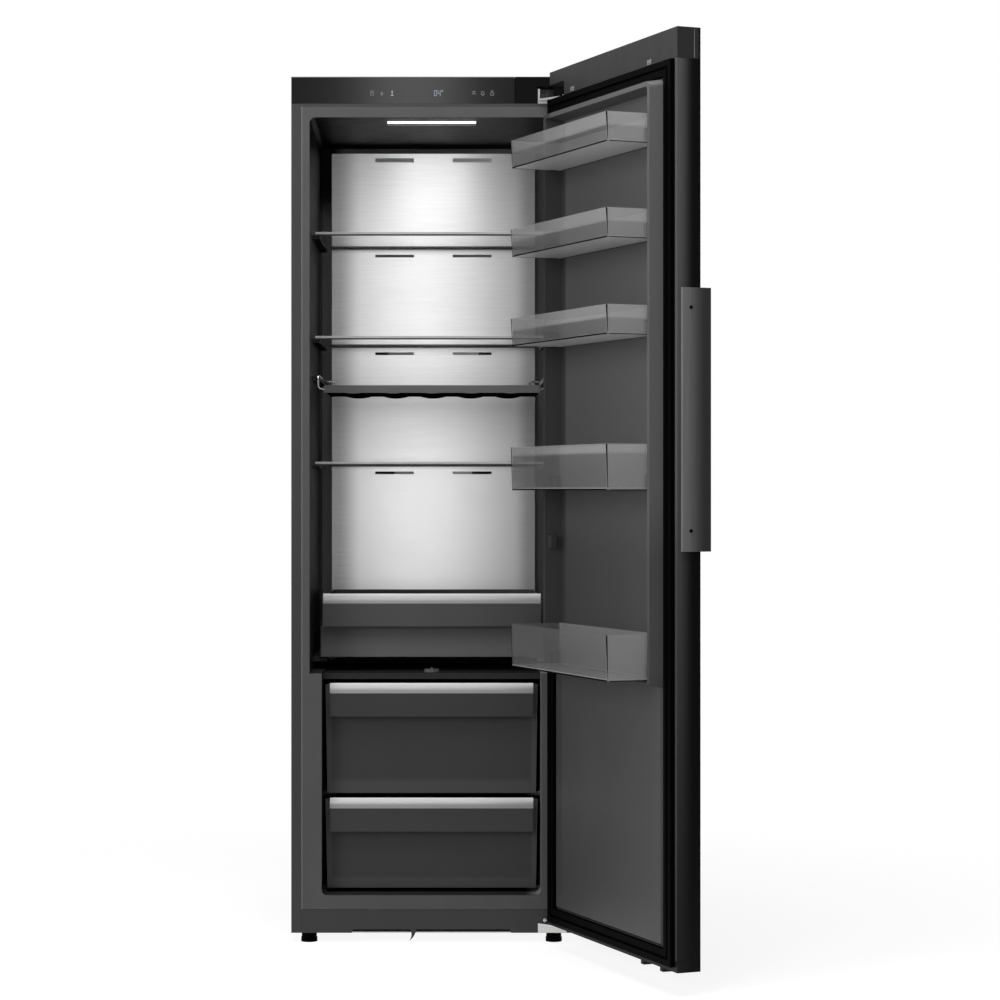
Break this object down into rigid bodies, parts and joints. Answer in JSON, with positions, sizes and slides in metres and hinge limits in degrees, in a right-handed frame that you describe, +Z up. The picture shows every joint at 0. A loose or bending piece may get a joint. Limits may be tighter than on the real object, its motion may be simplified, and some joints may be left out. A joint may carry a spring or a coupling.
{
  "type": "larder fridge",
  "caption": "Tall dark larder fridge with its door open: glass shelves, wire-hung bottle tray, chill box, salad drawers, clear door bins and a flat bar handle.",
  "frame": {"origin": "on the floor, under the middle of the cabinet's front face", "axes": "+X to the right as you face the fridge, +Y back into the cabinet, +Z up"},
  "size_m": [0.8414, 1.2175, 1.855],
  "materials": {
    "cabinet_grey": "satin dark grey paint",
    "liner_dark": "near-black moulded plastic",
    "foam": "rigid insulating foam",
    "galvanised": "zinc-coated sheet",
    "moulding_dark": "dark grey moulded plastic",
    "gloss_dark": "glossy charcoal panel",
    "board_green": "circuit board",
    "diffuser": "milky light diffuser",
    "panel_steel": "horizontally brushed steel",
    "white_plastic": "white moulded plastic",
    "coil_aluminium": "bare aluminium",
    "black_steel": "black enamel",
    "copper": "copper tube",
    "rubber": "black rubber",
    "zinc": "bright zinc plate",
    "glass": "clear safety glass",
    "trim_grey": "light grey trim",
    "wire_chrome": "chromed wire",
    "tray_grey": "grey moulded plastic",
    "smoked": "smoked translucent plastic",
    "bin_clear": "smoked clear plastic",
    "pull_grey": "satin grey moulding",
    "door_dark": "brushed black steel",
    "lining_grey": "dark grey moulded lining",
    "handle_grey": "satin dark metal"
  },
  "bodies": {
    "cabinet": {"cabinet_shell": "cabinet_grey", "inner_liner": "liner_dark", "foam_insulation": "foam", "rear_panel": "galvanised", "machine_bulkhead": "galvanised", "base_plate": "galvanised", "plinth": "moulding_dark", "display_panel": "gloss_dark", "hinge_cover": "gloss_dark", "top_lid": "moulding_dark", "control_board": "board_green", "ceiling_lamp": "diffuser", "cooling_panel": "panel_steel", "air_duct": "white_plastic", "evaporator": "coil_aluminium", "fan_motor": "black_steel", "compressor": "black_steel", "compressor_feet": "rubber", "drip_tray": "moulding_dark", "refrigerant_pipes": "copper", "mains_gland": "rubber", "roller_axles": "zinc", "chill_box_runners": "liner_dark", "drawer_cover": "moulding_dark", "top_hinge": "zinc", "bottom_hinge": "zinc"},
    "door": {"door_front_panel": "door_dark", "door_frame": "door_dark", "door_foam": "foam", "door_top_cap": "moulding_dark", "door_bottom_cap": "door_dark", "door_lining": "lining_grey", "door_gasket": "rubber", "door_handle": "handle_grey"},
    "fan": {"fan_wheel": "white_plastic"},
    "foot_left": {"front_foot_left": "rubber"},
    "foot_right": {"front_foot_right": "rubber"},
    "roller_left": {"rear_roller_left": "white_plastic"},
    "roller_right": {"rear_roller_right": "white_plastic"},
    "tray": {"bottle_tray": "tray_grey", "tray_wires": "wire_chrome"},
    "chill_drawer": {"chill_box": "smoked", "chill_box_pull": "pull_grey"},
    "upper_drawer": {"salad_drawer_upper": "smoked", "drawer_pull_upper": "pull_grey"},
    "lower_drawer": {"salad_drawer_lower": "smoked", "drawer_pull_lower": "pull_grey"},
    "knob": {"air_knob": "tray_grey"},
    "shelf_upper": {"shelf_glass_upper": "glass", "shelf_trim_upper": "trim_grey"},
    "shelf_middle": {"shelf_glass_middle": "glass", "shelf_trim_middle": "trim_grey"},
    "shelf_lower": {"shelf_glass_lower": "glass", "shelf_trim_lower": "trim_grey"},
    "bin_top": {"door_bin_top": "bin_clear"},
    "bin_second": {"door_bin_second": "bin_clear"},
    "bin_third": {"door_bin_third": "bin_clear"},
    "bin_fourth": {"door_bin_fourth": "bin_clear"},
    "bin_bottom": {"door_bin_bottom": "bin_clear"}
  },
  "joints": [
    {"name": "door_swing", "type": "hinge", "parent": "cabinet", "child": "door", "pos_m": [0.2885, -0.047, 0.9], "axis": [0, 0, 1], "range_deg": [-112, 18]},
    {"name": "chill_box_slide", "type": "slide", "parent": "cabinet", "child": "chill_drawer", "axis": [0, -1, 0], "range_m": [0, 0.2]},
    {"name": "upper_drawer_slide", "type": "slide", "parent": "cabinet", "child": "upper_drawer", "axis": [0, -1, 0], "range_m": [0, 0.3]},
    {"name": "lower_drawer_slide", "type": "slide", "parent": "cabinet", "child": "lower_drawer", "axis": [0, -1, 0], "range_m": [0, 0.3]},
    {"name": "bottle_tray_slide", "type": "slide", "parent": "cabinet", "child": "tray", "axis": [0, -1, 0], "range_m": [0, 0.18]},
    {"name": "shelf_upper_slide", "type": "slide", "parent": "cabinet", "child": "shelf_upper", "axis": [0, -1, 0], "range_m": [0, 0.14]},
    {"name": "shelf_middle_slide", "type": "slide", "parent": "cabinet", "child": "shelf_middle", "axis": [0, -1, 0], "range_m": [0, 0.14]},
    {"name": "shelf_lower_slide", "type": "slide", "parent": "cabinet", "child": "shelf_lower", "axis": [0, -1, 0], "range_m": [0, 0.14]},
    {"name": "bin_top_lift", "type": "slide", "parent": "door", "child": "bin_top", "axis": [0, 0, 1], "range_m": [0, 0.025]},
    {"name": "bin_second_lift", "type": "slide", "parent": "door", "child": "bin_second", "axis": [0, 0, 1], "range_m": [0, 0.025]},
    {"name": "bin_third_lift", "type": "slide", "parent": "door", "child": "bin_third", "axis": [0, 0, 1], "range_m": [0, 0.025]},
    {"name": "bin_fourth_lift", "type": "slide", "parent": "door", "child": "bin_fourth", "axis": [0, 0, 1], "range_m": [0, 0.025]},
    {"name": "bin_bottom_lift", "type": "slide", "parent": "door", "child": "bin_bottom", "axis": [0, 0, 1], "range_m": [0, 0.025]},
    {"name": "air_knob_turn", "type": "hinge", "parent": "cabinet", "child": "knob", "pos_m": [0, 0.095, 0.574], "axis": [0, 0, 1], "range_deg": [0, 90]},
    {"name": "foot_left_screw", "type": "hinge", "parent": "cabinet", "child": "foot_left", "pos_m": [-0.263, 0.03, 0.02], "axis": [0, 0, 1], "continuous": true},
    {"name": "foot_right_screw", "type": "hinge", "parent": "cabinet", "child": "foot_right", "pos_m": [0.263, 0.03, 0.02], "axis": [0, 0, 1], "continuous": true},
    {"name": "roller_left_spin", "type": "hinge", "parent": "cabinet", "child": "roller_left", "pos_m": [-0.25, 0.57, 0.015], "axis": [1, 0, 0], "continuous": true},
    {"name": "roller_right_spin", "type": "hinge", "parent": "cabinet", "child": "roller_right", "pos_m": [0.25, 0.57, 0.015], "axis": [1, 0, 0], "continuous": true},
    {"name": "fan_spin", "type": "hinge", "parent": "cabinet", "child": "fan", "pos_m": [0, 0.49, 1.13], "axis": [0, 1, 0], "continuous": true}
  ]
}
